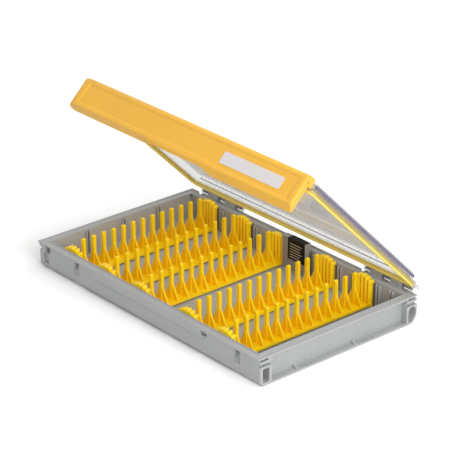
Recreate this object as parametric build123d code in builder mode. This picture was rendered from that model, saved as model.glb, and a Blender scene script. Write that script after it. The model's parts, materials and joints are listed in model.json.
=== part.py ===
from build123d import *
from math import cos, radians, sin
import os

os.makedirs("parts", exist_ok=True)

# Frame: +X along the long side, -Y towards the latch, +Z up, z = 0 under the tray.
# The lid and the latch are drawn closed and turned open at the end.

# Tray
tray_length = 356.0
tray_depth = 214.3
tray_height = 30.8
floor_thickness = 2.0
side_wall = 9.55
end_recess_depth = 8.0
end_wall = 2.0
rim_lip = 2.0
rim_outer_lip = 1.8
rim_inner_lip = 1.3
rim_groove = 0.8
face_recess = 1.5
face_draft = 0.8
front_foot = 9.15
front_round = 6.5
rear_foot = 10.15
rear_round = 12.0

# Tray, end recesses and rail ends
front_rail_end = 16.75
rear_rail_end = 14.15
end_flange = 2.0
end_pocket_depth = 12.0
neck_low = 20.6
neck_high = 24.4
neck_depth = 3.7
slot_low = 26.6
slot_high = 29.2
end_slot_length = 19.3
end_slot_width = 1.8
end_slot_y = 39.0
end_slot_inset = 3.0
gusset_thickness = 1.6
gusset_height = 3.6
gusset_offset = 15.5

# Tray, front face
band_left_inset = 98.0
band_right_inset = 83.0
band_bottom = 21.0
band_slope = 12.0
catch_groove_height = 1.6
catch_groove_depth = 0.9
wedge_foot_depth = 3.0
wedge_head_depth = 6.5
upper_pocket_depth = 6.0
lower_pocket_depth = 4.6
notch_depth = 4.2

# Tray, divider slots
slot_pitch = 19.0
slots_each_way = 8
end_divider_pitch = 49.3
slot_gap = 2.4
slot_rib = 1.6
slot_rib_depth = 2.8
slot_rib_top = 28.3
slot_groove = 0.8
end_slot_groove = 1.1

# Hinge
hinge_offset = 5.3
knuckle_radius = 3.6
knuckle_gap = 0.4
knuckle_widths = [12.4, 15.8, 12.0, 16.3, 10.2]
hinge_inset = 12.5
shelf_thickness = 1.6
shelf_reach = 1.5
hinge_pin_radius = 1.5
running_clearance = 0.05
pin_end_inset = 0.5
lid_rest_angle = 45.0

# Lid
flange_thickness = 2.0
lid_overhang = 2.05
lid_wall = 1.6
deck_top = 43.6
deck_round = 1.2
ledge_top = 36.8
ledge_step = 0.6

# Seal
seal_width = 3.6
seal_height = 4.9
seal_proud = 1.9
seal_corner = 6.0
seal_gap = 0.4
seal_bead_wall = 1.2

# Latch
latch_front = -122.5
latch_rear = -110.5
latch_top = 44.1
latch_left_inset = 5.5
latch_skin = 2.0
latch_end_wall = 5.0
latch_round = 5.0
latch_rear_round = 1.5
left_top_corner = 16.0
left_low_corner = 7.0
left_plan_corner = 12.0
right_corner = 3.0
end_lip_rear = -115.5
lip_high = 33.6
latch_low = 3.4
latch_low_left = 7.0
bevel_high = 9.8
bevel_rear = -117.5
sweep_start = 42.0
sweep_end = 63.0
under_end = -38.0
under_high = 10.9
under_bend = -113.5
under_skin = 1.6
latch_pin_y = -118.4
latch_pin_z = 36.4
latch_pin_radius = 1.0
left_pin_inset = 4.2
right_pin_inset = 1.0
lug_radius = 1.8
lug_width = 8.0
lug_gap = 0.5
left_lug_inset = 17.0
right_lug_inset = 9.8
inner_lug_x = 60.0
bearing_rib = 3.0
hook_gap = 0.3
hook_grip = 0.7
hook_thickness = 2.0
hook_end_gap = 4.0
snap_angle = 5.0
dish_depth = 0.9
dish_border = 2.6

# Write-on label on the latch
label_length = 86.5
label_inset = 24.8
label_bottom = 18.1
label_height = 13.0
label_thickness = 0.3

# Racks
rack_slots = [-7, -4, -1, 3, 6]
rack_width = 25.5
rack_clearance = 0.3
strip_low = 3.6
strip_high = 6.0
keel_width = 4.0
tooth_count = 13
tooth_pitch = 13.38
tooth_width = 3.8
tooth_round = 1.3
tooth_top = 40.8
fin_thickness = 1.8
fin_top = 25.0
fin_half = 11.4
block_thickness = 2.3
column_tops = [31.6, 34.2, 35.0, 34.2, 31.6]
column_round = 1.9
flute_radius = 2.2
tab_clearance = 0.4
head_gap = 0.4
head_lift = 0.4

# Moisture pack
pack_left = -5.9
pack_right = 30.3
pack_thickness = 6.0
pack_top = 39.2
pack_wall = 1.2
pack_lid = 1.4
pack_label_left = 3.4
pack_label_low = 14.9
pack_label_skin = 0.2

# Places that follow from the values above.
half_length = tray_length / 2
half_depth = tray_depth / 2
inner_half_depth = half_depth - side_wall
end_wall_outer = half_length - end_recess_depth
end_wall_inner = end_wall_outer - end_wall
end_recess_front = -half_depth + front_rail_end
end_recess_rear = half_depth - rear_rail_end
band_left = -half_length + band_left_inset
band_right = half_length - band_right_inset
under_rim = tray_height - rim_lip
tab_top = slot_rib_top - head_lift
tab_thickness = slot_gap - 2 * tab_clearance
tab_outer = inner_half_depth - rack_clearance
block_outer = inner_half_depth - slot_rib_depth - rack_clearance
block_inner = block_outer - block_thickness
head_low = slot_rib_top + head_lift
head_outer = inner_half_depth - ledge_step - head_gap
hinge_y = half_depth + hinge_offset
hinge_z = tray_height
seal_half_x = (half_length + end_wall_inner) / 2
seal_half_y = (half_depth + inner_half_depth) / 2
seal_low = tray_height - rim_groove + seal_gap
seal_top = seal_low + seal_height
lid_low = seal_low + seal_proud
lid_high = lid_low + flange_thickness
lid_rear = half_depth + lid_overhang
latch_left = -half_length + latch_left_inset

# Hinge knuckles from the end inwards, lid and tray in turn.
knuckle_spans = []
span_end = half_length - hinge_inset
for width in knuckle_widths:
    knuckle_spans.append((span_end - width, span_end))
    span_end -= width + knuckle_gap
lid_knuckles = knuckle_spans[0::2]
tray_knuckles = knuckle_spans[1::2]
hinge_low = knuckle_spans[-1][0] - knuckle_gap
hinge_high = knuckle_spans[0][1] + knuckle_gap
shelf_top = hinge_z - knuckle_radius - knuckle_gap


# Wedge-shaped pockets in the front face, deep under the rim and running out below.
with BuildPart() as front_wedges:
    with BuildSketch(Plane.XZ.offset(half_depth + 1)):
        Polygon((-114.5, 31), (-107.9, 31), (-108.7, 13.5), (-119.3, 13.5), align=None)
        Polygon((141.6, 31), (149.4, 31), (148.4, 13.5), (139, 13.5), align=None)
    extrude(amount=-8)
    with BuildSketch(Plane.YZ.offset(-half_length)):
        Polygon(
            (-half_depth - 1, 13.5),
            (-half_depth + wedge_foot_depth, 13.5),
            (-half_depth + wedge_head_depth, 22.0),
            (-half_depth + wedge_head_depth, under_rim),
            (-half_depth - 1, under_rim),
            align=None,
        )
    extrude(amount=tray_length, mode=Mode.INTERSECT)


with BuildPart() as tray:
    # Cross section of the whole tray, with its rounded lower edges.
    with BuildSketch(Plane.YZ.offset(-half_length)):
        with BuildLine():
            face_y = -half_depth + face_recess
            Line((-half_depth + front_foot, 0), (half_depth - rear_foot, 0))
            ThreePointArc(
                (half_depth - rear_foot, 0),
                (half_depth - 0.29 * rear_foot, 0.32 * rear_round),
                (half_depth, rear_round),
            )
            Polyline(
                (half_depth, rear_round),
                (half_depth, tray_height),
                (-half_depth, tray_height),
                (-half_depth, under_rim),
                (face_y, under_rim),
                (face_y + face_draft, front_round),
            )
            ThreePointArc(
                (face_y + face_draft, front_round),
                (-half_depth + 0.43 * front_foot, 0.32 * front_round),
                (-half_depth + front_foot, 0),
            )
        make_face()
    extrude(amount=tray_length)

    # Raised band in the middle of the front face.
    with BuildSketch(Plane.XZ.offset(half_depth - face_recess - face_draft)):
        Polygon(
            (band_left - band_slope, under_rim),
            (band_left, band_bottom),
            (band_right, band_bottom),
            (band_right, under_rim),
            align=None,
        )
    extrude(amount=face_recess + face_draft)

    # Groove under the band, where the latch's hook catches.
    with BuildSketch(Plane.XZ.offset(half_depth - face_recess + 0.1)):
        with Locations(((band_left + band_right) / 2, band_bottom - catch_groove_height / 2)):
            Rectangle(band_right - band_left, catch_groove_height)
    extrude(amount=-catch_groove_depth - 0.1, mode=Mode.SUBTRACT)

    # Cavity.
    with BuildSketch(Plane.XY.offset(floor_thickness)):
        Rectangle(2 * end_wall_inner, 2 * inner_half_depth)
    extrude(amount=tray_height, mode=Mode.SUBTRACT)

    # Shallow groove along the rim under the seal.
    with BuildSketch(Plane.XY.offset(tray_height)):
        Rectangle(tray_length - 2 * rim_outer_lip, tray_depth - 2 * rim_outer_lip)
        Rectangle(
            2 * (end_wall_inner + rim_inner_lip),
            2 * (inner_half_depth + rim_inner_lip),
            mode=Mode.SUBTRACT,
        )
    extrude(amount=-rim_groove, mode=Mode.SUBTRACT)

    # Ribs that stand in pairs and hold the racks and dividers.
    rib_offset = (slot_gap + slot_rib) / 2
    rib_height = slot_rib_top - floor_thickness
    rib_middle = floor_thickness + rib_height / 2
    for side in (-1, 1):
        with BuildSketch(Plane.XZ.offset(side * (inner_half_depth - slot_rib_depth))):
            with GridLocations(slot_pitch, 0, 2 * slots_each_way + 1, 1):
                with Locations((-rib_offset, rib_middle), (rib_offset, rib_middle)):
                    Rectangle(slot_rib, rib_height)
        extrude(amount=side * slot_rib_depth)
    for side in (-1, 1):
        with BuildSketch(Plane.YZ.offset(side * (end_wall_inner - slot_rib_depth))):
            with GridLocations(end_divider_pitch, 0, 3, 1):
                with Locations((-rib_offset, rib_middle), (rib_offset, rib_middle)):
                    Rectangle(slot_rib, rib_height)
        extrude(amount=side * slot_rib_depth)
    top_edges = tray.edges().filter_by_position(Axis.Z, slot_rib_top - 0.01, slot_rib_top + 0.01)
    inner_edges = top_edges.filter_by(lambda e: e.length < slot_rib + 0.1)
    fillet(
        inner_edges.filter_by(
            lambda e: abs(e.center().Y) < inner_half_depth - slot_rib_depth + 0.1
            and abs(e.center().Y) > end_divider_pitch + rib_offset + slot_rib
        ),
        1.8,
    )

    # Grooves that run on into the side walls between each pair of ribs.
    for side in (-1, 1):
        with BuildSketch(Plane.XZ.offset(side * inner_half_depth)):
            with GridLocations(slot_pitch, 0, 2 * slots_each_way + 1, 1):
                with Locations((0, rib_middle)):
                    Rectangle(slot_gap, rib_height)
        extrude(amount=side * slot_groove, mode=Mode.SUBTRACT)

    for side in (-1, 1):
        with BuildSketch(Plane.YZ.offset(side * end_wall_inner)):
            with GridLocations(end_divider_pitch, 0, 3, 1):
                with Locations((0, rib_middle)):
                    Rectangle(slot_gap, rib_height)
        extrude(amount=side * end_slot_groove, mode=Mode.SUBTRACT)

    # Recesses in both ends, between the rim, the bottom flange and the rails.
    with BuildSketch(Plane.XY.offset(end_flange)):
        recess_y = (end_recess_front + end_recess_rear) / 2
        recess_x = (half_length + end_wall_outer) / 2
        with Locations((-recess_x, recess_y), (recess_x, recess_y)):
            Rectangle(end_recess_depth, end_recess_rear - end_recess_front)
    extrude(amount=under_rim - end_flange, mode=Mode.SUBTRACT)

    # Slots through the bottom flanges, each with a small gusset before it.
    with BuildSketch(Plane.XY):
        with GridLocations(2 * (half_length - end_slot_inset), 2 * end_slot_y, 2, 2):
            Rectangle(end_slot_width, end_slot_length)
    extrude(amount=end_flange, mode=Mode.SUBTRACT)
    for gusset_y in (-end_slot_y - gusset_offset, end_slot_y - gusset_offset):
        with BuildSketch(Plane.XZ.offset(-gusset_y)):
            for side in (-1, 1):
                Polygon(
                    (side * end_wall_outer, end_flange),
                    (side * (half_length - 0.5), end_flange),
                    (side * end_wall_outer, end_flange + gusset_height),
                    align=None,
                )
        extrude(amount=gusset_thickness)

    # Openings in the ends of the two rails.
    for face_x in (-half_length, half_length - end_pocket_depth):
        with BuildSketch(Plane.YZ.offset(face_x)):
            with Locations((-half_depth + 7.2, (slot_low + slot_high) / 2)):
                Rectangle(10.7, slot_high - slot_low)
            with Locations((half_depth - 5.8, (slot_low + slot_high) / 2)):
                Rectangle(13.6, slot_high - slot_low)
            with Locations((-half_depth + 9.65, 10.7)):
                RectangleRounded(8.4, 15.6, 1.0)
            with BuildLine():
                Polyline(
                    (half_depth - 11.85, 2.2),
                    (half_depth - 6.6, 2.2),
                    (half_depth - 1.6, 9.5),
                    (half_depth - 1.6, 16.0),
                    (half_depth - 4.4, 19.0),
                    (half_depth - 8.8, 19.0),
                    (half_depth - 11.85, 15.6),
                    close=True,
                )
            make_face()
        extrude(amount=end_pocket_depth, mode=Mode.SUBTRACT)

    # Necks cut across the rail ends between the upper and the lower opening.
    for face_x in (-half_length, half_length - neck_depth):
        with BuildSketch(Plane.YZ.offset(face_x)):
            neck_middle = (neck_low + neck_high) / 2
            with Locations((-half_depth + front_rail_end / 2, neck_middle)):
                Rectangle(front_rail_end + 1, neck_high - neck_low)
            with Locations((half_depth - rear_rail_end / 2, neck_middle)):
                Rectangle(rear_rail_end + 1, neck_high - neck_low)
        extrude(amount=neck_depth, mode=Mode.SUBTRACT)

    # Two stacked pockets near the left end, a small notch, and the two wedges.
    with BuildSketch(Plane.XZ.offset(half_depth)):
        Polygon(
            (-half_length + 11.2, under_rim),
            (-half_length + 19.3, under_rim),
            (-half_length + 18.0, 20.4),
            (-half_length + 10.0, 20.4),
            align=None,
        )
    extrude(amount=-upper_pocket_depth, mode=Mode.SUBTRACT)
    with BuildSketch(Plane.XZ.offset(half_depth)):
        Polygon(
            (-half_length + 6.3, 19.0),
            (-half_length + 16.4, 19.0),
            (-half_length + 15.0, 7.2),
            (-half_length + 5.6, 7.2),
            align=None,
        )
    extrude(amount=-lower_pocket_depth, mode=Mode.SUBTRACT)
    with BuildSketch(Plane.XZ.offset(half_depth)):
        with Locations((band_right, under_rim - 2.6)):
            Rectangle(7.4, 5.2)
    extrude(amount=-notch_depth, mode=Mode.SUBTRACT)
    add(front_wedges.part, mode=Mode.SUBTRACT)

    # Channels that hollow the rails from below, with ribs left between them.
    with BuildSketch(Plane.XY):
        with Locations((16, -half_depth + 5.3)):
            with GridLocations(48.0, 0, 5, 1):
                Rectangle(45.5, 4.0)
        with Locations((-138.5, -half_depth + 6.8)):
            Rectangle(31, 1.6)
    extrude(amount=23.0, mode=Mode.SUBTRACT)
    with BuildSketch(Plane.XY):
        with Locations((0, half_depth - 4.7)):
            with GridLocations(47.0, 0, 4, 1):
                Rectangle(44.5, 5.4)
    extrude(amount=27.0, mode=Mode.SUBTRACT)
    with BuildSketch(Plane.XY):
        with Locations((-131.5, half_depth - 5.2), (131.5, half_depth - 5.2)):
            Rectangle(64, 4.4)
    extrude(amount=23.0, mode=Mode.SUBTRACT)

    # Pockets in the rear rim beside the lid's hinge knuckles.
    with BuildSketch(Plane.XY.offset(tray_height)):
        for side in (-1, 1):
            for low, high in lid_knuckles:
                with Locations((side * (low + high) / 2, half_depth - 1.3)):
                    Rectangle(high - low + 0.6, 2.6)
    extrude(amount=-4.8, mode=Mode.SUBTRACT)

    # Shelf behind the rear wall, under both rows of knuckles.
    for side in (-1, 1):
        with BuildSketch(Plane.YZ.offset(hinge_low if side > 0 else -hinge_high)):
            Polygon(
                (half_depth - 0.5, shelf_top),
                (hinge_y + shelf_reach, shelf_top),
                (hinge_y + shelf_reach, shelf_top - shelf_thickness),
                (half_depth - 0.5, shelf_top - 2 * shelf_thickness),
                align=None,
            )
        extrude(amount=hinge_high - hinge_low)

    # Hinge knuckles on webs behind the rear wall.
    for side in (-1, 1):
        for low, high in tray_knuckles:
            start = low if side > 0 else -high
            with BuildSketch(Plane.YZ.offset(start)):
                Polygon(
                    (half_depth - 0.5, hinge_z - knuckle_radius - 4),
                    (hinge_y + 0.8, hinge_z - knuckle_radius + 0.1),
                    (hinge_y, hinge_z),
                    (half_depth - 0.5, hinge_z),
                    align=None,
                )
                with Locations((hinge_y, hinge_z)):
                    Circle(knuckle_radius)
                with Locations((hinge_y, hinge_z)):
                    Circle(hinge_pin_radius, mode=Mode.SUBTRACT)
            extrude(amount=high - low)

tray.part.label = "tray"
export_step(tray.part, "parts/tray.step")


# Hinge pins, held in the tray knuckles.
pin_low = lid_knuckles[-1][0] + pin_end_inset
pin_high = lid_knuckles[0][1] - pin_end_inset
with BuildPart() as hinge_pin_left:
    with BuildSketch(Plane.YZ.offset(-pin_high)):
        with Locations((hinge_y, hinge_z)):
            Circle(hinge_pin_radius)
    extrude(amount=pin_high - pin_low)

hinge_pin_left.part.label = "hinge_pin_left"
export_step(hinge_pin_left.part, "parts/hinge_pin_left.step")

with BuildPart() as hinge_pin_right:
    with BuildSketch(Plane.YZ.offset(pin_low)):
        with Locations((hinge_y, hinge_z)):
            Circle(hinge_pin_radius)
    extrude(amount=pin_high - pin_low)

hinge_pin_right.part.label = "hinge_pin_right"
export_step(hinge_pin_right.part, "parts/hinge_pin_right.step")


# One rack of upright teeth, drawn on the centre line and copied to each slot.
column_pitch = rack_width / len(column_tops)
block_high = max(column_tops)
with BuildPart() as rack:
    # End blocks with flutes, and heads that reach back over the tray's ribs.
    with BuildSketch(Plane.XY.offset(floor_thickness)):
        for side in (-1, 1):
            with Locations((0, side * (block_inner + block_outer) / 2)):
                Rectangle(rack_width, block_thickness)
            with Locations((0, side * block_inner)):
                with GridLocations(column_pitch, 0, len(column_tops), 1):
                    Circle(flute_radius)
    extrude(amount=block_high - floor_thickness)
    with BuildSketch(Plane.XY.offset(head_low)):
        for side in (-1, 1):
            with Locations((0, side * (block_inner + head_outer) / 2)):
                Rectangle(rack_width, head_outer - block_inner)
    extrude(amount=block_high - head_low)

    # Rounded tops, lower towards the sides.
    with BuildSketch(Plane.XZ.offset(-inner_half_depth)):
        for number, top in enumerate(column_tops):
            column_x = (number - (len(column_tops) - 1) / 2) * column_pitch
            with Locations((column_x, (floor_thickness + top) / 2)):
                RectangleRounded(column_pitch, top - floor_thickness, column_round)
        with Locations((0, (floor_thickness + column_tops[0] - column_round) / 2)):
            Rectangle(rack_width, column_tops[0] - column_round - floor_thickness)
    extrude(amount=2 * inner_half_depth, mode=Mode.INTERSECT)

    # Tabs that drop into the slots of the tray.
    with BuildSketch(Plane.XY.offset(floor_thickness)):
        for side in (-1, 1):
            with Locations((0, side * (block_inner + tab_outer) / 2)):
                Rectangle(tab_thickness, tab_outer - block_inner)
    extrude(amount=tab_top - floor_thickness)

    # Strip, raised on a keel.
    with BuildSketch(Plane.XY.offset(strip_low)):
        Rectangle(rack_width, 2 * block_inner)
    extrude(amount=strip_high - strip_low)
    with BuildSketch(Plane.XY.offset(floor_thickness)):
        Rectangle(keel_width, 2 * block_inner)
    extrude(amount=strip_low - floor_thickness)

    # Teeth with flared fins.
    tooth_span = (tooth_count - 1) * tooth_pitch
    fin_bend = strip_high + 0.48 * (fin_top - strip_high)
    for number in range(tooth_count):
        tooth_y = number * tooth_pitch - tooth_span / 2
        with BuildSketch(Plane.XZ.offset(tooth_width / 2 - tooth_y)):
            with Locations((0, (strip_low + tooth_top) / 2)):
                RectangleRounded(tooth_width, tooth_top - strip_low, tooth_round)
        extrude(amount=-tooth_width)
        with BuildSketch(Plane.XZ.offset(fin_thickness / 2 - tooth_y)):
            with BuildLine():
                ThreePointArc((-1.6, fin_top), (-0.54 * fin_half, fin_bend), (-fin_half, strip_high))
                Polyline((-fin_half, strip_high), (-fin_half, strip_low), (fin_half, strip_low))
                Line((fin_half, strip_low), (fin_half, strip_high))
                ThreePointArc((fin_half, strip_high), (0.54 * fin_half, fin_bend), (1.6, fin_top))
                Line((1.6, fin_top), (-1.6, fin_top))
            make_face()
        extrude(amount=-fin_thickness)

for number, slot in enumerate(rack_slots, start=1):
    placed_rack = rack.part.moved(Location((slot * slot_pitch, 0, 0)))
    placed_rack.label = f"rack_{number}"
    export_step(placed_rack, f"parts/rack_{number}.step")


# Moisture pack: open-backed case, filling, back with tabs, and wrapped label.
pack_rear = block_outer
pack_front = pack_rear - pack_thickness
pack_mid = (pack_left + pack_right) / 2
pack_width = pack_right - pack_left
with BuildPart() as dry_pack_case:
    with BuildSketch(Plane.XZ.offset(-pack_rear)):
        with Locations((pack_mid, (floor_thickness + pack_top) / 2)):
            Rectangle(pack_width, pack_top - floor_thickness)
    extrude(amount=pack_thickness)
    with BuildSketch(Plane.XZ.offset(-pack_rear)):
        with Locations((pack_mid, (floor_thickness + pack_top) / 2)):
            Rectangle(pack_width - 2 * pack_wall, pack_top - floor_thickness - 2 * pack_wall)
    extrude(amount=pack_thickness - pack_wall, mode=Mode.SUBTRACT)
    fillet(dry_pack_case.edges().filter_by(Axis.Z).sort_by(Axis.Y)[:2], 0.6)

dry_pack_case.part.label = "dry_pack_case"
export_step(dry_pack_case.part, "parts/dry_pack_case.step")

with BuildPart() as dry_pack_core:
    with BuildSketch(Plane.XZ.offset(-pack_rear + pack_lid)):
        with Locations((pack_mid, (floor_thickness + pack_top) / 2)):
            Rectangle(pack_width - 2 * pack_wall, pack_top - floor_thickness - 2 * pack_wall)
    extrude(amount=pack_thickness - pack_lid - pack_wall)

dry_pack_core.part.label = "dry_pack_core"
export_step(dry_pack_core.part, "parts/dry_pack_core.step")

with BuildPart() as dry_pack_back:
    with BuildSketch(Plane.XZ.offset(-pack_rear)):
        with Locations((pack_mid, (floor_thickness + pack_top) / 2)):
            Rectangle(pack_width - 2 * pack_wall, pack_top - floor_thickness - 2 * pack_wall)
    extrude(amount=pack_lid)
    with BuildSketch(Plane.XZ.offset(-pack_rear)):
        with Locations((pack_mid, (head_low + pack_top) / 2)):
            Rectangle(pack_width, pack_top - head_low)
    extrude(amount=pack_rear - head_outer)
    with BuildSketch(Plane.XZ.offset(-pack_rear)):
        for tab_x in (0, slot_pitch):
            with Locations((tab_x, (floor_thickness + pack_wall + head_low) / 2)):
                Rectangle(tab_thickness, head_low - floor_thickness - pack_wall)
    extrude(amount=pack_rear - tab_outer)

dry_pack_back.part.label = "dry_pack_back"
export_step(dry_pack_back.part, "parts/dry_pack_back.step")

with BuildPart() as dry_pack_label:
    with BuildSketch(Plane.YZ.offset(pack_label_left)):
        Polygon(
            (pack_front, pack_label_low),
            (pack_front - pack_label_skin, pack_label_low),
            (pack_front - pack_label_skin, pack_top + pack_label_skin),
            (head_outer, pack_top + pack_label_skin),
            (head_outer, pack_top),
            (pack_front, pack_top),
            align=None,
        )
    extrude(amount=pack_right - 0.6 - pack_label_left)

dry_pack_label.part.label = "dry_pack_label"
export_step(dry_pack_label.part, "parts/dry_pack_label.step")


# Clear lid.
lid_mid = (lid_rear - half_depth) / 2
lid_depth = lid_rear + half_depth
bead_out = seal_width / 2 + seal_bead_wall
with BuildPart() as lid_shell:
    with BuildSketch(Plane.XY.offset(lid_low)):
        with Locations((0, lid_mid)):
            RectangleRounded(tray_length, lid_depth, 2.0)
    extrude(amount=flange_thickness)

    # The rear edge steps back in front of the tray's knuckles.
    with BuildSketch(Plane.XY.offset(lid_low)):
        notch_front = hinge_y - knuckle_radius - knuckle_gap
        notch_x = (hinge_low + hinge_high) / 2
        with Locations((-notch_x, notch_front + 5), (notch_x, notch_front + 5)):
            Rectangle(hinge_high - hinge_low, 10)
    extrude(amount=flange_thickness, mode=Mode.SUBTRACT)

    # Bead over the seal, and the raised deck.
    with BuildSketch(Plane.XY.offset(lid_low)):
        RectangleRounded(
            2 * (seal_half_x + bead_out),
            2 * (seal_half_y + bead_out),
            seal_corner + bead_out,
        )
    extrude(amount=seal_top + seal_bead_wall - lid_low)
    with BuildSketch(Plane.XY.offset(lid_low)):
        RectangleRounded(
            2 * (end_wall_inner + lid_wall),
            2 * (inner_half_depth + lid_wall),
            4.0,
        )
    extrude(amount=deck_top - lid_low)
    fillet(lid_shell.edges().group_by(Axis.Z)[-1], deck_round)

    # Hollow under the deck, with a small step low on the inside.
    with BuildSketch(Plane.XY.offset(lid_low)):
        RectangleRounded(
            2 * end_wall_inner,
            2 * (inner_half_depth - ledge_step),
            3.0,
        )
    extrude(amount=ledge_top - lid_low, mode=Mode.SUBTRACT)
    with BuildSketch(Plane.XY.offset(ledge_top)):
        RectangleRounded(2 * end_wall_inner, 2 * inner_half_depth, 3.0)
    extrude(amount=deck_top - lid_wall - ledge_top, mode=Mode.SUBTRACT)

    # Groove for the seal.
    with BuildSketch(Plane.XY.offset(lid_low)):
        RectangleRounded(
            2 * seal_half_x + seal_width,
            2 * seal_half_y + seal_width,
            seal_corner + seal_width / 2,
        )
        RectangleRounded(
            2 * seal_half_x - seal_width,
            2 * seal_half_y - seal_width,
            seal_corner - seal_width / 2,
            mode=Mode.SUBTRACT,
        )
    extrude(amount=seal_top - lid_low, mode=Mode.SUBTRACT)

    # Hinge knuckles on arms that pass over the rim.
    for side in (-1, 1):
        for low, high in lid_knuckles:
            start = low if side > 0 else -high
            with BuildSketch(Plane.YZ.offset(start)):
                Polygon(
                    (half_depth - 1, lid_low),
                    (hinge_y - knuckle_radius + 0.4, lid_low - 0.6),
                    (hinge_y, hinge_z),
                    (hinge_y, hinge_z + knuckle_radius),
                    (half_depth - 1, lid_high),
                    align=None,
                )
                with Locations((hinge_y, hinge_z)):
                    Circle(knuckle_radius)
                with Locations((hinge_y, hinge_z)):
                    Circle(hinge_pin_radius + running_clearance, mode=Mode.SUBTRACT)
            extrude(amount=high - low)

    # Lugs that carry the latch pin.
    lug_positions = [latch_left + left_lug_inset, -inner_lug_x, inner_lug_x, half_length - right_lug_inset]
    for lug_x in lug_positions:
        with BuildSketch(Plane.YZ.offset(lug_x - lug_width / 2)):
            Polygon(
                (-half_depth + 1, lid_low),
                (-half_depth + 1, lid_high),
                (-half_depth - 0.4, lid_high + 0.8),
                (latch_pin_y, latch_pin_z + lug_radius - 0.1),
                (latch_pin_y, latch_pin_z - lug_radius + 0.1),
                (-half_depth - 3, lid_low),
                align=None,
            )
            with Locations((latch_pin_y, latch_pin_z)):
                Circle(lug_radius)
            with Locations((latch_pin_y, latch_pin_z)):
                Circle(latch_pin_radius, mode=Mode.SUBTRACT)
        extrude(amount=lug_width)

# Seal in the lid.
with BuildPart() as lid_seal:
    with BuildSketch(Plane.XY.offset(seal_low)):
        RectangleRounded(
            2 * seal_half_x + seal_width,
            2 * seal_half_y + seal_width,
            seal_corner + seal_width / 2,
        )
        RectangleRounded(
            2 * seal_half_x - seal_width,
            2 * seal_half_y - seal_width,
            seal_corner - seal_width / 2,
            mode=Mode.SUBTRACT,
        )
    extrude(amount=seal_height)
    fillet(lid_seal.edges().group_by(Axis.Z)[0], 1.0)

with BuildPart() as latch_pin:
    with BuildSketch(Plane.YZ.offset(latch_left + left_pin_inset)):
        with Locations((latch_pin_y, latch_pin_z)):
            Circle(latch_pin_radius)
    extrude(amount=half_length - latch_left - left_pin_inset - right_pin_inset)


# Outlines of the latch bar: from the front, moved in for its inside, and from above.
corner_bend = 1 - cos(radians(45))


def rounded_outline(left, low, right, high, corners):
    low_left, low_right, high_right, high_left = corners
    ThreePointArc(
        (left, low + low_left),
        (left + low_left * corner_bend, low + low_left * corner_bend),
        (left + low_left, low),
    )
    Line((left + low_left, low), (right - low_right, low))
    ThreePointArc(
        (right - low_right, low),
        (right - low_right * corner_bend, low + low_right * corner_bend),
        (right, low + low_right),
    )
    Line((right, low + low_right), (right, high - high_right))
    ThreePointArc(
        (right, high - high_right),
        (right - high_right * corner_bend, high - high_right * corner_bend),
        (right - high_right, high),
    )
    Line((right - high_right, high), (left + high_left, high))
    ThreePointArc(
        (left + high_left, high),
        (left + high_left * corner_bend, high - high_left * corner_bend),
        (left, high - high_left),
    )
    Line((left, high - high_left), (left, low + low_left))


skin_inner = latch_front + latch_skin
latch_span = half_length - latch_left
inside_left = latch_left + latch_end_wall
inside_right = half_length - latch_end_wall

# The space inside the latch bar, open towards the box.
with BuildPart() as latch_hollow:
    with BuildSketch(Plane.YZ.offset(inside_left)):
        Polygon(
            (latch_rear + 1, latch_top - latch_skin),
            (skin_inner + 3.4, latch_top - latch_skin),
            (skin_inner + 1.0, latch_top - latch_skin - 1.0),
            (skin_inner, latch_top - latch_skin - 3.4),
            (skin_inner, under_high + under_skin),
            (under_bend, latch_low_left + under_skin),
            (latch_rear + 1, latch_low_left + under_skin),
            align=None,
        )
    extrude(amount=under_end - inside_left)
    with BuildSketch(Plane.YZ.offset(under_end)):
        Polygon(
            (latch_rear + 1, latch_top - latch_skin),
            (skin_inner + 3.4, latch_top - latch_skin),
            (skin_inner + 1.0, latch_top - latch_skin - 1.0),
            (skin_inner, latch_top - latch_skin - 3.4),
            (skin_inner, bevel_high + 0.6),
            (end_lip_rear, latch_low + 0.1),
            (end_lip_rear, latch_low - 1),
            (latch_rear + 1, latch_low - 1),
            align=None,
        )
    extrude(amount=inside_right - under_end)
    with BuildSketch(Plane.XZ.offset(-latch_front - 20)):
        with BuildLine():
            rounded_outline(
                latch_left + latch_skin,
                latch_low - 2,
                half_length,
                latch_top + 1,
                (left_low_corner + 3, 0.5, 0.5, left_top_corner + 3),
            )
        make_face()
    extrude(amount=22, mode=Mode.INTERSECT)
    with BuildSketch(Plane.XY.offset(latch_low - 2)):
        with BuildLine():
            rounded_outline(
                latch_left + latch_skin,
                latch_front + latch_skin,
                half_length,
                latch_rear + 2,
                (left_plan_corner - latch_skin, 0.5, 0.5, 0.5),
            )
        make_face()
    extrude(amount=latch_top, mode=Mode.INTERSECT)

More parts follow.
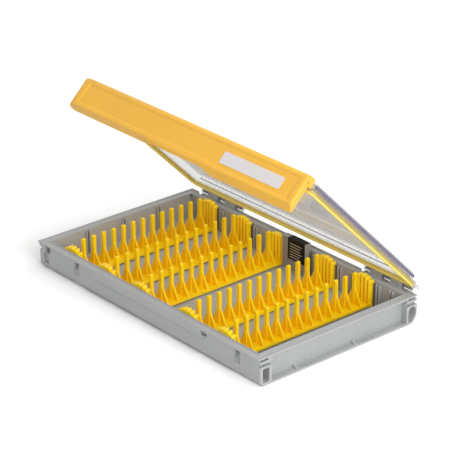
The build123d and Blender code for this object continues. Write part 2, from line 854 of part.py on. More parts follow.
# Latch bar: a shell open towards the box.
with BuildPart() as latch_bar:
    for start, finish, lower_edge in (
        (latch_left, under_end, [(latch_front, under_high), (under_bend, latch_low_left)]),
        (under_end, half_length, [(latch_front, bevel_high), (bevel_rear, latch_low)]),
    ):
        with BuildSketch(Plane.YZ.offset(start)):
            with BuildLine():
                Line((latch_rear, latch_top), (latch_front + latch_round, latch_top))
                ThreePointArc(
                    (latch_front + latch_round, latch_top),
                    (
                        latch_front + latch_round * corner_bend,
                        latch_top - latch_round * corner_bend,
                    ),
                    (latch_front, latch_top - latch_round),
                )
                if start == latch_left:
                    Polyline(
                        (latch_front, latch_top - latch_round),
                        *lower_edge,
                        (latch_rear, latch_low_left),
                        (latch_rear, latch_top),
                    )
                else:
                    Polyline(
                        (latch_front, latch_top - latch_round),
                        *lower_edge,
                        (end_lip_rear, latch_low),
                        (end_lip_rear, lip_high),
                        (latch_rear, lip_high),
                        (latch_rear, latch_top),
                    )
            make_face()
        extrude(amount=finish - start)
    rear_edges = latch_bar.edges().filter_by(Axis.X).filter_by_position(
        Axis.Z, latch_top - 0.01, latch_top + 0.01
    )
    fillet(rear_edges.group_by(Axis.Y)[-1], latch_rear_round)

    # Rounded corners as seen from the front, and the lower edge with its sweep.
    with BuildSketch(Plane.XZ.offset(-latch_front - 15)):
        with BuildLine():
            rounded_outline(
                latch_left,
                latch_low,
                half_length,
                latch_top,
                (left_low_corner, right_corner, right_corner, left_top_corner),
            )
        make_face()
        with BuildLine():
            Polyline(
                (sweep_end, latch_low),
                (sweep_end, latch_low - 1),
                (latch_left - 1, latch_low - 1),
                (latch_left - 1, latch_low_left + left_low_corner),
                (latch_left, latch_low_left + left_low_corner),
            )
            ThreePointArc(
                (latch_left, latch_low_left + left_low_corner),
                (
                    latch_left + left_low_corner * corner_bend,
                    latch_low_left + left_low_corner * corner_bend,
                ),
                (latch_left + left_low_corner, latch_low_left),
            )
            Line((latch_left + left_low_corner, latch_low_left), (sweep_start, latch_low_left))
            Spline(
                (sweep_start, latch_low_left),
                (sweep_end, latch_low),
                tangents=((1, 0), (1, 0)),
            )
        make_face(mode=Mode.SUBTRACT)
    extrude(amount=16, mode=Mode.INTERSECT)

    # Rounded corners as seen from above.
    with BuildSketch(Plane.XY.offset(latch_low - 1)):
        with BuildLine():
            rounded_outline(
                latch_left,
                latch_front,
                half_length,
                latch_rear + 1,
                (left_plan_corner, right_corner, 0.5, 0.5),
            )
        make_face()
    extrude(amount=latch_top, mode=Mode.INTERSECT)

    add(latch_hollow.part, mode=Mode.SUBTRACT)

    # Bearing ribs beside the inner lugs.
    for lug_x in (-inner_lug_x, inner_lug_x):
        for side in (-1, 1):
            near = lug_x + side * (lug_width / 2 + lug_gap)
            start = near if side > 0 else near - bearing_rib
            with BuildSketch(Plane.YZ.offset(start)):
                Polygon(
                    (skin_inner - 0.4, latch_pin_z - 7),
                    (latch_pin_y + 3.2, latch_pin_z - 3.4),
                    (latch_pin_y + 3.2, latch_top - latch_skin + 0.4),
                    (skin_inner + 2, latch_top - latch_skin + 0.4),
                    (skin_inner - 0.4, latch_top - latch_skin - 2),
                    align=None,
                )
            extrude(amount=bearing_rib)

    # Hook that snaps under the raised band when the latch is pressed home.
    tip_y = -half_depth + hook_grip - latch_pin_y
    tip_z = band_bottom - hook_gap - latch_pin_z
    turn = radians(snap_angle)
    hook_y = latch_pin_y + tip_y * cos(turn) + tip_z * sin(turn)
    hook_z = latch_pin_z - tip_y * sin(turn) + tip_z * cos(turn)
    with BuildSketch(Plane.YZ.offset(band_left + hook_end_gap)):
        Polygon(
            (skin_inner - 0.4, hook_z - 1.2 - hook_thickness),
            (hook_y - 2.0, hook_z - hook_thickness),
            (hook_y, hook_z - 0.8),
            (hook_y, hook_z),
            (hook_y - 2.0, hook_z),
            (skin_inner - 0.4, hook_z - 1.2),
            align=None,
        )
    extrude(amount=band_right - band_left - 2 * hook_end_gap)

    # Notches in the top for the lid lugs.
    with BuildSketch(Plane.XY.offset(latch_top)):
        with Locations((0, (latch_rear + 1 + latch_pin_y) / 2)):
            for lug_x in lug_positions:
                with Locations((lug_x, 0)):
                    Rectangle(lug_width + 2 * lug_gap, latch_rear + 1 - latch_pin_y)
    extrude(amount=-latch_skin - 0.2, mode=Mode.SUBTRACT)

    # Shallow dish in the front face, with sloped borders.
    for dish_y, inset in ((latch_front, 0), (latch_front + dish_depth, dish_border)):
        with BuildSketch(Plane.XZ.offset(-dish_y)):
            Polygon(
                (latch_left + 13.6 + inset, latch_low_left + 6.6 + inset),
                (latch_left + 16.6 + inset, latch_top - latch_round - 0.4 - inset),
                (half_length - 7.0 - inset, latch_top - latch_round - 0.4 - inset),
                (half_length - 7.0 - inset, latch_low + 8.0 + inset),
                (sweep_end + 7.0, latch_low + 8.0 + inset),
                (sweep_start + 4.0, latch_low_left + 6.6 + inset),
                align=None,
            )
    loft(ruled=True, mode=Mode.SUBTRACT)

    # Bore for the pin.
    with BuildSketch(Plane.YZ.offset(latch_left)):
        with Locations((latch_pin_y, latch_pin_z)):
            Circle(latch_pin_radius + running_clearance)
    extrude(amount=latch_span, mode=Mode.SUBTRACT)

label_middle = half_length - label_inset - label_length / 2
with BuildPart() as latch_label:
    with BuildSketch(Plane.XZ.offset(-latch_front - dish_depth)):
        with Locations((label_middle, label_bottom + label_height / 2)):
            RectangleRounded(label_length, label_height, 1.5)
    extrude(amount=label_thickness)


# Turn the lid and the latch open about the hinge and write them out.
hinge_axis = Axis((0, hinge_y, hinge_z), (1, 0, 0))
lid_pieces = {
    "lid_shell": lid_shell.part,
    "lid_seal": lid_seal.part,
    "latch_pin": latch_pin.part,
    "latch_bar": latch_bar.part,
    "latch_label": latch_label.part,
}
for name, piece in lid_pieces.items():
    opened = piece.rotate(hinge_axis, -lid_rest_angle)
    opened.label = name
    export_step(opened, f"parts/{name}.step")
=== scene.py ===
import json
import math
import bpy
from mathutils import Matrix, Vector


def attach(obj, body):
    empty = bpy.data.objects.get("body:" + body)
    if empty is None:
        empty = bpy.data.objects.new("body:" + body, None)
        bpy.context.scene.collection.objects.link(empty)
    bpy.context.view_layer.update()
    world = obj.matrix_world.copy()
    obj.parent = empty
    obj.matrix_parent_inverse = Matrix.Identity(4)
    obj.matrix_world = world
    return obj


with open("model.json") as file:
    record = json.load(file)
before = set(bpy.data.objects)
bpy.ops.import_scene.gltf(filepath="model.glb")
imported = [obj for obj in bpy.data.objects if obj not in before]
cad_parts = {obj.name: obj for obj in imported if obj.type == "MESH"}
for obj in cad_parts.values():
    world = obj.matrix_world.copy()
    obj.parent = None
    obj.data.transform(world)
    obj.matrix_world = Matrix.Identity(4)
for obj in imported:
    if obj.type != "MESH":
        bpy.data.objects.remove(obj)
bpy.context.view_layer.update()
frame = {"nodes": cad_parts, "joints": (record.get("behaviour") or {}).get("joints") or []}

nodes = frame["nodes"]
mm = 0.001
print("frame loaded:", len(nodes), "nodes")

# The lid's hinge line, and how far the lid stands open at rest, come with the frame.
lidHinge = next(joint for joint in frame["joints"] if joint["name"] == "lid_hinge")
hingeLine = Vector(lidHinge["pos_m"])
openAngle = math.radians(-lidHinge["range_deg"][0])


def linear(code):  # an sRGB hex colour as linear RGBA
    parts = [int(code[i:i + 2], 16) / 255 for i in (1, 3, 5)]
    return [p / 12.92 if p <= 0.04045 else ((p + 0.055) / 1.055) ** 2.4 for p in parts] + [1.0]


def addNode(tree, kind, settings=None, inputs=None):
    node = tree.nodes.new(kind)
    for name, value in (settings or {}).items():
        setattr(node, name, value)
    for name, value in (inputs or {}).items():
        if isinstance(value, bpy.types.NodeSocket):
            tree.links.new(value, node.inputs[name])
        else:
            node.inputs[name].default_value = value
    return node


def startMaterial(name):
    material = bpy.data.materials.new(name)
    material.use_nodes = True
    tree = material.node_tree
    tree.nodes.clear()
    return material, tree


# How much fine detail each noise pattern of the materials holds, and how rough it is.
patterns = {
    "clouds": {"Detail": 3.0, "Roughness": 0.55}, "grain": {"Detail": 2.0, "Roughness": 0.6},
    "waves": {"Detail": 1.0}, "lines": {"Detail": 2.0}, "tooth": {"Detail": 3.0},
}

# Moulded faces are a little glossier where the clouds are low and duller where they are high.
sheen = {"cloudLow": 0.3, "cloudHigh": 0.7, "less": 0.04, "more": 0.05}


def mouldedPlastic(name, look):
    # Injection-moulded plastic: one body colour with faint flow clouds, a fine spark-eroded grain
    # that breaks up the highlights, and a soft satin sheen.
    material, tree = startMaterial(name)
    place = addNode(tree, "ShaderNodeTexCoord")
    clouds = addNode(tree, "ShaderNodeTexNoise", inputs={
        "Vector": place.outputs["Object"], "Scale": 1 / (look["cloudMm"] * mm), **patterns["clouds"]})
    grain = addNode(tree, "ShaderNodeTexNoise", inputs={
        "Vector": place.outputs["Object"], "Scale": 1 / (look["grainMm"] * mm), **patterns["grain"]})
    tint = addNode(tree, "ShaderNodeMix", {"data_type": "RGBA"}, {
        0: clouds.outputs["Fac"], 6: linear(look["dark"]), 7: linear(look["light"])})
    gloss = addNode(tree, "ShaderNodeMapRange", inputs={
        "Value": clouds.outputs["Fac"], "From Min": sheen["cloudLow"], "From Max": sheen["cloudHigh"],
        "To Min": look["rough"] - sheen["less"], "To Max": look["rough"] + sheen["more"]})
    bump = addNode(tree, "ShaderNodeBump", inputs={
        "Height": grain.outputs["Fac"], "Strength": look["grainStrength"],
        "Distance": look["grainDeepMm"] * mm})
    body = addNode(tree, "ShaderNodeBsdfPrincipled", inputs={
        "Base Color": tint.outputs[2], "Roughness": gloss.outputs["Result"], "IOR": look["ior"],
        "Normal": bump.outputs["Normal"]})
    if "soft" in look:  # light spreads inside the plastic and warms its shaded sides
        body.inputs["Subsurface Weight"].default_value = look["soft"]
        body.inputs["Subsurface Radius"].default_value = look["softRadius"]
        body.inputs["Subsurface Scale"].default_value = look["softMm"] * mm
    addNode(tree, "ShaderNodeOutputMaterial", inputs={"Surface": body.outputs[0]})
    return material


def clearPolycarbonate(name, look):
    # Clear moulded plastic: what lies behind shows undistorted under a faint grey haze, the face
    # mirrors at a grazing view, and slight moulding waves stir its reflections.
    material, tree = startMaterial(name)
    place = addNode(tree, "ShaderNodeTexCoord")
    waves = addNode(tree, "ShaderNodeTexNoise", inputs={
        "Vector": place.outputs["Object"], "Scale": 1 / (look["waveMm"] * mm), **patterns["waves"]})
    bump = addNode(tree, "ShaderNodeBump", inputs={
        "Height": waves.outputs["Fac"], "Strength": look["waveStrength"],
        "Distance": look["waveDeepMm"] * mm})
    # Both shares grow towards a grazing view, the same from inside and outside the plastic.
    view = addNode(tree, "ShaderNodeLayerWeight", inputs={"Blend": 0.5, "Normal": bump.outputs["Normal"]})
    shares = {}
    for kind in ("haze", "shine"):
        steep = addNode(tree, "ShaderNodeMath", {"operation": "POWER"}, {
            0: view.outputs["Facing"], 1: look[kind + "Power"]})
        shares[kind] = addNode(tree, "ShaderNodeMath", {"operation": "MULTIPLY_ADD"}, {
            0: steep.outputs[0], 1: look[kind + "Grazing"], 2: look[kind + "Share"]})
    passing = addNode(tree, "ShaderNodeBsdfTransparent", inputs={"Color": linear(look["colour"])})
    haze = addNode(tree, "ShaderNodeBsdfDiffuse", inputs={"Color": linear(look["haze"])})
    gloss = addNode(tree, "ShaderNodeBsdfAnisotropic", inputs={
        "Color": linear(look["shine"]), "Roughness": look["rough"], "Normal": bump.outputs["Normal"]})
    body = addNode(tree, "ShaderNodeMixShader", inputs={
        0: shares["haze"].outputs[0], 1: passing.outputs[0], 2: haze.outputs[0]})
    both = addNode(tree, "ShaderNodeMixShader", inputs={
        0: shares["shine"].outputs[0], 1: body.outputs[0], 2: gloss.outputs[0]})
    addNode(tree, "ShaderNodeOutputMaterial", inputs={"Surface": both.outputs[0]})
    return material


def drawnSteel(name, look):
    # Drawn steel wire: grey metal with faint lines along its length, dull from drawing. The wires
    # lie along X, so the pattern is stretched that way.
    material, tree = startMaterial(name)
    place = addNode(tree, "ShaderNodeTexCoord")
    along, across = 1 / (look["lineLongMm"] * mm), 1 / (look["lineWideMm"] * mm)
    stretch = addNode(tree, "ShaderNodeMapping", inputs={
        "Vector": place.outputs["Object"], "Scale": (along, across, across)})
    lines = addNode(tree, "ShaderNodeTexNoise", inputs={
        "Vector": stretch.outputs[0], "Scale": 1.0, **patterns["lines"]})
    dull = addNode(tree, "ShaderNodeMapRange", inputs={
        "Value": lines.outputs["Fac"],
        "To Min": look["rough"] - look["less"], "To Max": look["rough"] + look["more"]})
    metal = addNode(tree, "ShaderNodeBsdfPrincipled", inputs={
        "Base Color": linear(look["colour"]), "Metallic": 1.0, "Roughness": dull.outputs["Result"]})
    addNode(tree, "ShaderNodeOutputMaterial", inputs={"Surface": metal.outputs[0]})
    return material


def printedFilm(name, look):
    # Matt label film: flat colour with a slight paper-like tooth.
    material, tree = startMaterial(name)
    place = addNode(tree, "ShaderNodeTexCoord")
    tooth = addNode(tree, "ShaderNodeTexNoise", inputs={
        "Vector": place.outputs["Object"], "Scale": 1 / (look["toothMm"] * mm), **patterns["tooth"]})
    tint = addNode(tree, "ShaderNodeMix", {"data_type": "RGBA"}, {
        0: tooth.outputs["Fac"], 6: linear(look["dark"]), 7: linear(look["light"])})
    bump = addNode(tree, "ShaderNodeBump", inputs={
        "Height": tooth.outputs["Fac"], "Strength": look["toothStrength"],
        "Distance": look["toothDeepMm"] * mm})
    film = addNode(tree, "ShaderNodeBsdfPrincipled", inputs={
        "Base Color": tint.outputs[2], "Roughness": look["rough"], "Specular IOR Level": look["shine"],
        "Normal": bump.outputs["Normal"]})
    addNode(tree, "ShaderNodeOutputMaterial", inputs={"Surface": film.outputs[0]})
    return material


finishes = {
    "tray": mouldedPlastic("greyPolypropylene", {
        "dark": "#A2A4A4", "light": "#ADAFAF", "cloudMm": 38.0, "grainMm": 0.9, "grainStrength": 0.25,
        "grainDeepMm": 0.05, "rough": 0.46, "ior": 1.49}),
    "rack": mouldedPlastic("yellowPolypropylene", {
        "dark": "#FFCE00", "light": "#FFD804", "cloudMm": 22.0, "grainMm": 0.8, "grainStrength": 0.2,
        "grainDeepMm": 0.04, "rough": 0.38, "ior": 1.49,
        "soft": 0.4, "softRadius": (1.0, 0.75, 0.15), "softMm": 2.0}),
    "latch": mouldedPlastic("orangeAbs", {
        "dark": "#E4AB33", "light": "#EBB33A", "cloudMm": 45.0, "grainMm": 0.8, "grainStrength": 0.25,
        "grainDeepMm": 0.05, "rough": 0.42, "ior": 1.52}),
    "pack": mouldedPlastic("greyPorousPlastic", {
        "dark": "#7F7C78", "light": "#A9A6A2", "cloudMm": 2.2, "grainMm": 0.7, "grainStrength": 0.7,
        "grainDeepMm": 0.25, "rough": 0.8, "ior": 1.49}),
    "fill": mouldedPlastic("pressedDryingClay", {
        "dark": "#B5AEA4", "light": "#C8C2B8", "cloudMm": 3.0, "grainMm": 0.6, "grainStrength": 0.8,
        "grainDeepMm": 0.2, "rough": 0.9, "ior": 1.45}),
    "seal": mouldedPlastic("yellowSiliconeRubber", {
        "dark": "#F6D762", "light": "#FDE074", "cloudMm": 14.0, "grainMm": 1.0, "grainStrength": 0.15,
        "grainDeepMm": 0.04, "rough": 0.34, "ior": 1.42,
        "soft": 0.8, "softRadius": (1.0, 0.8, 0.35), "softMm": 4.0}),
    "clear": clearPolycarbonate("clearPolycarbonate", {
        "colour": "#EFEFEE", "haze": "#CFCDC9", "hazeShare": 0.05, "hazeGrazing": 0.4, "hazePower": 3.0,
        "shine": "#F0F0F2", "shineShare": 0.04, "shineGrazing": 0.4, "shinePower": 5.0, "rough": 0.06,
        "waveMm": 80.0, "waveStrength": 0.1, "waveDeepMm": 0.2}),
    "wire": drawnSteel("drawnSteelWire", {
        "colour": "#8E8F92", "rough": 0.38, "less": 0.08, "more": 0.1,
        "lineLongMm": 50.0, "lineWideMm": 0.25}),
    "whiteLabel": printedFilm("writeOnFilm", {
        "dark": "#D0CBCB", "light": "#D8D3D2", "toothMm": 0.8, "toothStrength": 0.3, "toothDeepMm": 0.03,
        "rough": 0.7, "shine": 0.5}),
    "blackLabel": printedFilm("blackLabelFilm", {
        "dark": "#0C0B0A", "light": "#141312", "toothMm": 1.2, "toothStrength": 0.3, "toothDeepMm": 0.03,
        "rough": 0.6, "shine": 0.2}),
    "paleInk": printedFilm("palePrintedRule", {
        "dark": "#C4B496", "light": "#D4C6AA", "toothMm": 0.6, "toothStrength": 0.3, "toothDeepMm": 0.03,
        "rough": 0.6, "shine": 0.5}),
    # Dark ruler marks, and the painted shadow line under them, share this colour.
    "markAndShadow": mouldedPlastic("darkMarkAndStepShadow", {
        "dark": "#6A696E", "light": "#7C7B80", "cloudMm": 8.0, "grainMm": 0.6, "grainStrength": 0.1,
        "grainDeepMm": 0.02, "rough": 0.4, "ior": 1.49}),
    # Painted shade: the strip between the grip ribs, darker than the ribs of the same plastic.
    "ribShade": mouldedPlastic("violetGreyRibShade", {
        "dark": "#3E364C", "light": "#4E4660", "cloudMm": 6.0, "grainMm": 0.6, "grainStrength": 0.2,
        "grainDeepMm": 0.03, "rough": 0.4, "ior": 1.49}),
    "ribBand": mouldedPlastic("violetGreyGrip", {
        "dark": "#7C7390", "light": "#9A92AC", "cloudMm": 6.0, "grainMm": 0.6, "grainStrength": 0.2,
        "grainDeepMm": 0.03, "rough": 0.35, "ior": 1.49}),
    # Painted shade: the dark colour of the discs that stand in for the pack's pits.
    "pit": mouldedPlastic("paintedPitShade", {
        "dark": "#4A4745", "light": "#5A5754", "cloudMm": 3.0, "grainMm": 0.6, "grainStrength": 0.3,
        "grainDeepMm": 0.05, "rough": 0.8, "ior": 1.45}),
}
print("materials made:", len(finishes))

wearing = {
    "tray": "tray", "hinge_pin_left": "wire", "hinge_pin_right": "wire", "latch_pin": "wire",
    "rack_1": "rack", "rack_2": "rack", "rack_3": "rack", "rack_4": "rack", "rack_5": "rack",
    "dry_pack_case": "pack", "dry_pack_back": "pack", "dry_pack_core": "fill",
    "dry_pack_label": "blackLabel", "lid_shell": "clear", "lid_seal": "seal",
    "latch_bar": "latch", "latch_label": "whiteLabel",
}
for nodeName, finish in wearing.items():
    part = nodes[nodeName]
    part.data.materials.clear()
    part.data.materials.append(finishes[finish])

# Moulded edges are slightly round: weld, join flat faces, then a small bevel on each node, in mm.
softEdges = {
    "tray": 0.35, "rack_1": 0.3, "rack_2": 0.3, "rack_3": 0.3, "rack_4": 0.3, "rack_5": 0.3,
    "latch_bar": 0.5, "lid_shell": 0.3, "dry_pack_case": 0.3, "dry_pack_back": 0.2,
}
rounding = {"weld": 0.004 * mm, "flatDegrees": 0.4, "segments": 2, "sharpDegrees": 38.0}
for nodeName, width in softEdges.items():
    part = nodes[nodeName]
    weld = part.modifiers.new("weld", "WELD")
    weld.merge_threshold = rounding["weld"]
    flat = part.modifiers.new("flat", "DECIMATE")
    flat.decimate_type = "DISSOLVE"
    flat.angle_limit = math.radians(rounding["flatDegrees"])
    bevel = part.modifiers.new("bevel", "BEVEL")
    bevel.width = width * mm
    bevel.segments = rounding["segments"]
    bevel.limit_method = "ANGLE"
    bevel.angle_limit = math.radians(rounding["sharpDegrees"])
    bevel.harden_normals = True
print("edges softened")


def newTree(name, inputs):
    tree = bpy.data.node_groups.new(name, "GeometryNodeTree")
    tree.interface.new_socket("Geometry", in_out="OUTPUT", socket_type="NodeSocketGeometry")
    for label, kind in inputs.items():
        tree.interface.new_socket(label, in_out="INPUT", socket_type=kind)
    return tree, tree.nodes.new("NodeGroupInput").outputs


def endTree(tree, dots, material):  # makes the copies real and gives them their material
    real = addNode(tree, "GeometryNodeRealizeInstances", inputs={0: dots.outputs[0]})
    done = addNode(tree, "GeometryNodeSetMaterial", inputs={0: real.outputs[0], "Material": material})
    addNode(tree, "NodeGroupOutput", inputs={0: done.outputs[0]})


def growPiece(name, tree, look, place):
    # Runs the tree on an empty mesh and keeps the result as a plain mesh, moved to its place.
    values = {**look, "Material": finishes[look["finish"]]}
    holder = bpy.data.objects.new(name + "Holder", bpy.data.meshes.new(name + "Holder"))
    bpy.context.scene.collection.objects.link(holder)
    modifier = holder.modifiers.new("grow", "NODES")
    modifier.node_group = tree
    for item in tree.interface.items_tree:
        if item.item_type == "SOCKET" and item.in_out == "INPUT":
            modifier[item.identifier] = values[item.name]
    graph = bpy.context.evaluated_depsgraph_get()
    mesh = bpy.data.meshes.new_from_object(holder.evaluated_get(graph))
    bpy.data.objects.remove(holder)
    mesh.transform(place)
    mesh.name = name
    piece = bpy.data.objects.new(name, mesh)
    bpy.context.scene.collection.objects.link(piece)
    return piece


def onLid(x, y, z):  # a place on the closed lid, turned with it to where it stands at rest
    turn = Matrix.Rotation(-openAngle, 4, "X")
    turnedOpen = Matrix.Translation(hingeLine) @ turn @ Matrix.Translation(-hingeLine)
    return turnedOpen @ Matrix.Translation((x, y, z))


ball = {"Segments": 10, "Rings": 6}  # coarse, as a stud or pit is 1 to 1.5 mm wide


def studTree():
    # Flattened balls on a grid, every second row moved along by half a step.
    tree, given = newTree("studRows", {
        "Count": "NodeSocketInt", "Rows": "NodeSocketInt", "Pitch": "NodeSocketFloat",
        "Row Pitch": "NodeSocketFloat", "Radius": "NodeSocketFloat", "Proud": "NodeSocketFloat",
        "Material": "NodeSocketMaterial"})
    sides = []
    for count, pitch in (("Count", "Pitch"), ("Rows", "Row Pitch")):
        steps = addNode(tree, "ShaderNodeMath", {"operation": "SUBTRACT"}, {0: given[count], 1: 1.0})
        sides.append(addNode(tree, "ShaderNodeMath", {"operation": "MULTIPLY"}, {
            0: steps.outputs[0], 1: given[pitch]}))
    grid = addNode(tree, "GeometryNodeMeshGrid", inputs={
        "Size X": sides[0].outputs[0], "Size Y": sides[1].outputs[0],
        "Vertices X": given["Count"], "Vertices Y": given["Rows"]})
    where = addNode(tree, "GeometryNodeInputPosition")
    split = addNode(tree, "ShaderNodeSeparateXYZ", inputs={0: where.outputs[0]})
    row = addNode(tree, "ShaderNodeMath", {"operation": "DIVIDE"}, {
        0: split.outputs["Y"], 1: given["Row Pitch"]})
    even = addNode(tree, "ShaderNodeMath", {"operation": "PINGPONG"}, {0: row.outputs[0], 1: 1.0})
    step = addNode(tree, "ShaderNodeMath", {"operation": "MULTIPLY"}, {
        0: even.outputs[0], 1: given["Pitch"]})
    shift = addNode(tree, "ShaderNodeMath", {"operation": "MULTIPLY"}, {0: step.outputs[0], 1: 0.5})
    offset = addNode(tree, "ShaderNodeCombineXYZ", inputs={"X": shift.outputs[0]})
    points = addNode(tree, "GeometryNodeSetPosition", inputs={
        "Geometry": grid.outputs["Mesh"], "Offset": offset.outputs[0]})
    stud = addNode(tree, "GeometryNodeMeshUVSphere", inputs={**ball, "Radius": given["Radius"]})
    squat = addNode(tree, "ShaderNodeMath", {"operation": "DIVIDE"}, {
        0: given["Proud"], 1: given["Radius"]})
    scale = addNode(tree, "ShaderNodeCombineXYZ", inputs={"X": 1.0, "Y": 1.0, "Z": squat.outputs[0]})
    dots = addNode(tree, "GeometryNodeInstanceOnPoints", inputs={
        "Points": points.outputs[0], "Instance": stud.outputs["Mesh"], "Scale": scale.outputs[0]})
    endTree(tree, dots, given["Material"])
    return tree


# Rows of small round studs on the end panels.
dotTree = studTree()
studs = {"Count": 35, "Rows": 5, "Pitch": 5.0 * mm, "Row Pitch": 4.2 * mm, "Radius": 0.75 * mm,
         "Proud": 0.55 * mm, "panelX": 170.0 * mm, "midY": 0.0 * mm, "midZ": 14.0 * mm, "finish": "tray"}
for end, label in ((1, "right"), (-1, "left")):
    outward = Matrix(((0, 0, end, 0), (end, 0, 0, 0), (0, 1, 0, 0), (0, 0, 0, 1)))
    stand = Matrix.Translation((end * studs["panelX"], studs["midY"], studs["midZ"])) @ outward
    piece = growPiece("end_studs_" + label, dotTree, studs, stand)
    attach(piece, "tray_body")

# Small round pits of the moisture block, drawn as dark discs of painted shade just proud of its face.
pits = {"Count": 18, "Rows": 19, "Pitch": 1.85 * mm, "Row Pitch": 1.85 * mm, "Radius": 0.5 * mm,
        "Proud": 0.06 * mm, "midX": 11.8 * mm, "faceY": 88.5 * mm, "midZ": 20.6 * mm, "finish": "pit"}
frontward = Matrix.Rotation(math.radians(90), 4, "X")
stand = Matrix.Translation((pits["midX"], pits["faceY"], pits["midZ"])) @ frontward
piece = growPiece("pack_pits", dotTree, pits, stand)
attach(piece, "tray_body")
print("studs and pits made")


def barTree():
    # A row of thin upright bars with longer ones among them; where "Long Tall" is the same as
    # "Tall", all are alike.
    tree, given = newTree("barRow", {
        "Count": "NodeSocketInt", "Pitch": "NodeSocketFloat", "Wide": "NodeSocketFloat",
        "Tall": "NodeSocketFloat", "Deep": "NodeSocketFloat", "Long Every": "NodeSocketInt",
        "Long Tall": "NodeSocketFloat", "Material": "NodeSocketMaterial"})
    step = addNode(tree, "ShaderNodeCombineXYZ", inputs={"X": given["Pitch"]})
    line = addNode(tree, "GeometryNodeMeshLine", inputs={
        "Count": given["Count"], "Offset": step.outputs[0]})
    size = addNode(tree, "ShaderNodeCombineXYZ", inputs={"X": given["Wide"], "Y": given["Deep"], "Z": 1.0})
    bar = addNode(tree, "GeometryNodeMeshCube", inputs={"Size": size.outputs[0]})
    lift = addNode(tree, "GeometryNodeTransform", inputs={
        "Geometry": bar.outputs["Mesh"], "Translation": (0, 0, 0.5)})
    index = addNode(tree, "GeometryNodeInputIndex")
    left = addNode(tree, "ShaderNodeMath", {"operation": "MODULO"}, {
        0: index.outputs[0], 1: given["Long Every"]})
    isLong = addNode(tree, "ShaderNodeMath", {"operation": "LESS_THAN"}, {0: left.outputs[0], 1: 0.5})
    extra = addNode(tree, "ShaderNodeMath", {"operation": "SUBTRACT"}, {
        0: given["Long Tall"], 1: given["Tall"]})
    tall = addNode(tree, "ShaderNodeMath", {"operation": "MULTIPLY_ADD"}, {
        0: isLong.outputs[0], 1: extra.outputs[0], 2: given["Tall"]})
    scale = addNode(tree, "ShaderNodeCombineXYZ", inputs={"X": 1.0, "Y": 1.0, "Z": tall.outputs[0]})
    bars = addNode(tree, "GeometryNodeInstanceOnPoints", inputs={
        "Points": line.outputs[0], "Instance": lift.outputs[0], "Scale": scale.outputs[0]})
    endTree(tree, bars, given["Material"])
    return tree


# Measuring marks along the rear wall of the lid's deck, every fourth one longer.
rowTree = barTree()
marks = {"Count": 52, "Pitch": 6.35 * mm, "Wide": 0.5 * mm, "Tall": 1.2 * mm, "Deep": 0.2 * mm,
         "Long Every": 4, "Long Tall": 2.4 * mm,
         "startX": -163.5 * mm, "wallY": 97.55 * mm, "lowZ": 39.2 * mm, "finish": "markAndShadow"}
piece = growPiece("lid_measure", rowTree, marks, onLid(marks["startX"], marks["wallY"], marks["lowZ"]))
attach(piece, "lid")

# Painted shadow of the step in the deck's rear wall, under the measuring marks: one long dark bar.
stepShadow = {"Count": 1, "Pitch": 1.0 * mm, "Wide": 330.0 * mm, "Tall": 0.8 * mm, "Deep": 0.3 * mm,
        "Long Every": 1, "Long Tall": 0.8 * mm,
        "midX": 0.0 * mm, "wallY": 97.45 * mm, "lowZ": 38.6 * mm, "finish": "markAndShadow"}
piece = growPiece("lid_step_shadow", rowTree, stepShadow, onLid(stepShadow["midX"], stepShadow["wallY"], stepShadow["lowZ"]))
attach(piece, "lid")

# The violet-grey band on the right end of the deck: grip ribs on a thin strip coloured darker as painted
# shade between the ribs.
grip = {"Count": 122, "Pitch": 1.6 * mm, "Wide": 0.8 * mm, "Tall": 3.0 * mm, "Deep": 0.5 * mm,
        "Long Every": 1, "Long Tall": 3.0 * mm,
        "wallX": 169.7 * mm, "alongY": -96.0 * mm, "lowZ": 38.9 * mm, "finish": "ribBand"}
strip = {"Count": 1, "Pitch": 1.0 * mm, "Wide": 196.5 * mm, "Tall": 3.2 * mm, "Deep": 0.3 * mm,
         "Long Every": 1, "Long Tall": 3.2 * mm,
         "wallX": 169.65 * mm, "alongY": 0.8 * mm, "lowZ": 38.8 * mm, "finish": "ribShade"}
rearward = Matrix.Rotation(math.radians(90), 4, "Z")
for label, look in (("ribs", grip), ("band", strip)):
    stand = onLid(look["wallX"], look["alongY"], look["lowZ"]) @ rearward
    piece = growPiece("lid_grip_" + label, rowTree, look, stand)
    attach(piece, "lid")

# Pale rules printed on the black label, laid on their sides.
rules = {"Count": 6, "Pitch": 3.1 * mm, "Wide": 0.7 * mm, "Tall": 16.0 * mm, "Deep": 0.06 * mm,
         "Long Every": 3, "Long Tall": 19.0 * mm,
         "leftX": 6.4 * mm, "faceY": 88.27 * mm, "highZ": 33.6 * mm, "finish": "paleInk"}
sideways = Matrix.Rotation(math.radians(90), 4, "Y")
stand = Matrix.Translation((rules["leftX"], rules["faceY"], rules["highZ"])) @ sideways
piece = growPiece("pack_rules", rowTree, rules, stand)
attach(piece, "tray_body")
print("bars made")


# The camera as in the photograph: angles in degrees, lens and sensor in mm, the rest in metres.
shot = {"azimuth": 49.27, "elevation": 24.73, "distance": 2.22317, "right": 0.0075, "up": 0.06635,
        "lens": 166.24, "sensorWidth": 36.0, "clipEnd": 50.0}
turn, tilt = math.radians(shot["azimuth"]), math.radians(shot["elevation"])
back = Vector((math.sin(turn) * math.cos(tilt), -math.cos(turn) * math.cos(tilt), math.sin(tilt)))
right = Vector((math.cos(turn), math.sin(turn), 0))
upward = back.cross(right)
eye = back * shot["distance"] + right * shot["right"] + upward * shot["up"]
camera = bpy.data.objects.new("camera", bpy.data.cameras.new("camera"))
camera.data.lens = shot["lens"]
camera.data.sensor_width = shot["sensorWidth"]
camera.data.clip_end = shot["clipEnd"]
camera.matrix_world = Matrix.Translation(eye) @ Matrix((right, upward, back)).transposed().to_4x4()
bpy.context.scene.collection.objects.link(camera)
bpy.context.scene.camera = camera

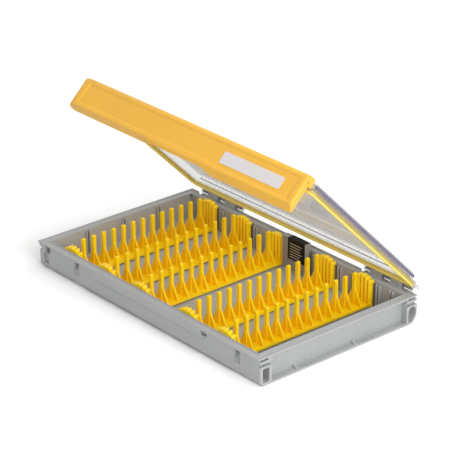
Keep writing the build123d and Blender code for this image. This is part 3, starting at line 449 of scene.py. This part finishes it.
# White paper under the object, a hair below its underside.
studio = {"floorSize": 14.0, "floorDrop": 0.2 * mm, "floorPale": 0.86, "nearLift": 0.22, "farLift": 0.7,
          "nearFloor": 0.25, "farFloor": 1.2, "worldLevel": 0.5}
half = studio["floorSize"] / 2
corners = [(x * half, y * half, 0) for x, y in ((-1, -1), (1, -1), (1, 1), (-1, 1))]
floorMesh = bpy.data.meshes.new("floor")
floorMesh.from_pydata(corners, [], [(0, 1, 2, 3)])
floor = bpy.data.objects.new("floor", floorMesh)
bpy.context.scene.collection.objects.link(floor)
floor.location.z = -studio["floorDrop"]
paper, tree = startMaterial("studioPaper")
rays = addNode(tree, "ShaderNodeLightPath")
seen = addNode(tree, "ShaderNodeMath", {"operation": "MAXIMUM"}, {
    0: rays.outputs["Is Camera Ray"], 1: rays.outputs["Is Transmission Ray"]})
# The paper looks paler the farther it lies from the object, so the shadow stays and the rest is white.
place = addNode(tree, "ShaderNodeTexCoord")
apart = addNode(tree, "ShaderNodeVectorMath", {"operation": "LENGTH"}, {0: place.outputs["Object"]})
lift = addNode(tree, "ShaderNodeMapRange", inputs={
    "Value": apart.outputs["Value"], "From Min": studio["nearFloor"], "From Max": studio["farFloor"],
    "To Min": studio["nearLift"], "To Max": studio["farLift"]})
pale = addNode(tree, "ShaderNodeMath", {"operation": "MULTIPLY_ADD"}, {
    0: seen.outputs[0], 1: lift.outputs["Result"], 2: studio["floorPale"]})
shade = addNode(tree, "ShaderNodeCombineColor", inputs={
    0: pale.outputs[0], 1: pale.outputs[0], 2: pale.outputs[0]})
matt = addNode(tree, "ShaderNodeBsdfDiffuse", inputs={"Color": shade.outputs[0]})
addNode(tree, "ShaderNodeOutputMaterial", inputs={"Surface": matt.outputs[0]})
floor.data.materials.append(paper)

# White all round where it is seen or mirrored, and dimmer as a light, so the softboxes model the shapes.
world = bpy.data.worlds.new("studio")
world.use_nodes = True
bpy.context.scene.world = world
tree = world.node_tree
tree.nodes.clear()
rays = addNode(tree, "ShaderNodeLightPath")
direct = addNode(tree, "ShaderNodeMath", {"operation": "MAXIMUM"}, {
    0: rays.outputs["Is Camera Ray"], 1: rays.outputs["Is Transmission Ray"]})
shown = addNode(tree, "ShaderNodeMath", {"operation": "MAXIMUM"}, {
    0: direct.outputs[0], 1: rays.outputs["Is Glossy Ray"]})
level = addNode(tree, "ShaderNodeMapRange", inputs={
    "Value": shown.outputs[0], "To Min": studio["worldLevel"], "To Max": 1.0})
sky = addNode(tree, "ShaderNodeBackground", inputs={
    "Color": linear("#FFFFFF"), "Strength": level.outputs["Result"]})
addNode(tree, "ShaderNodeOutputWorld", inputs={"Surface": sky.outputs[0]})

# Three softboxes, all aimed at a point a little above the middle of the tray.
aimPoint = Vector((0, 0, 0.05))
softboxes = {
    "overheadSoftbox": {"place": (0.5, 0.5, 1.9), "size": 1.5, "watts": 20.0},
    "rightSoftbox": {"place": (2.0, -0.6, 1.0), "size": 1.2, "watts": 33.0},
    "frontSoftbox": {"place": (-0.6, -2.2, 0.9), "size": 1.2, "watts": 3.0},
}
for name, box in softboxes.items():
    lamp = bpy.data.lights.new(name, "AREA")
    lamp.shape = "SQUARE"
    lamp.size = box["size"]
    lamp.energy = box["watts"]
    holder = bpy.data.objects.new(name, lamp)
    holder.location = box["place"]
    holder.rotation_euler = (aimPoint - Vector(box["place"])).to_track_quat("-Z", "Y").to_euler()
    bpy.context.scene.collection.objects.link(holder)
bpy.context.scene.view_settings.view_transform = "Standard"
print("camera, floor and light set")
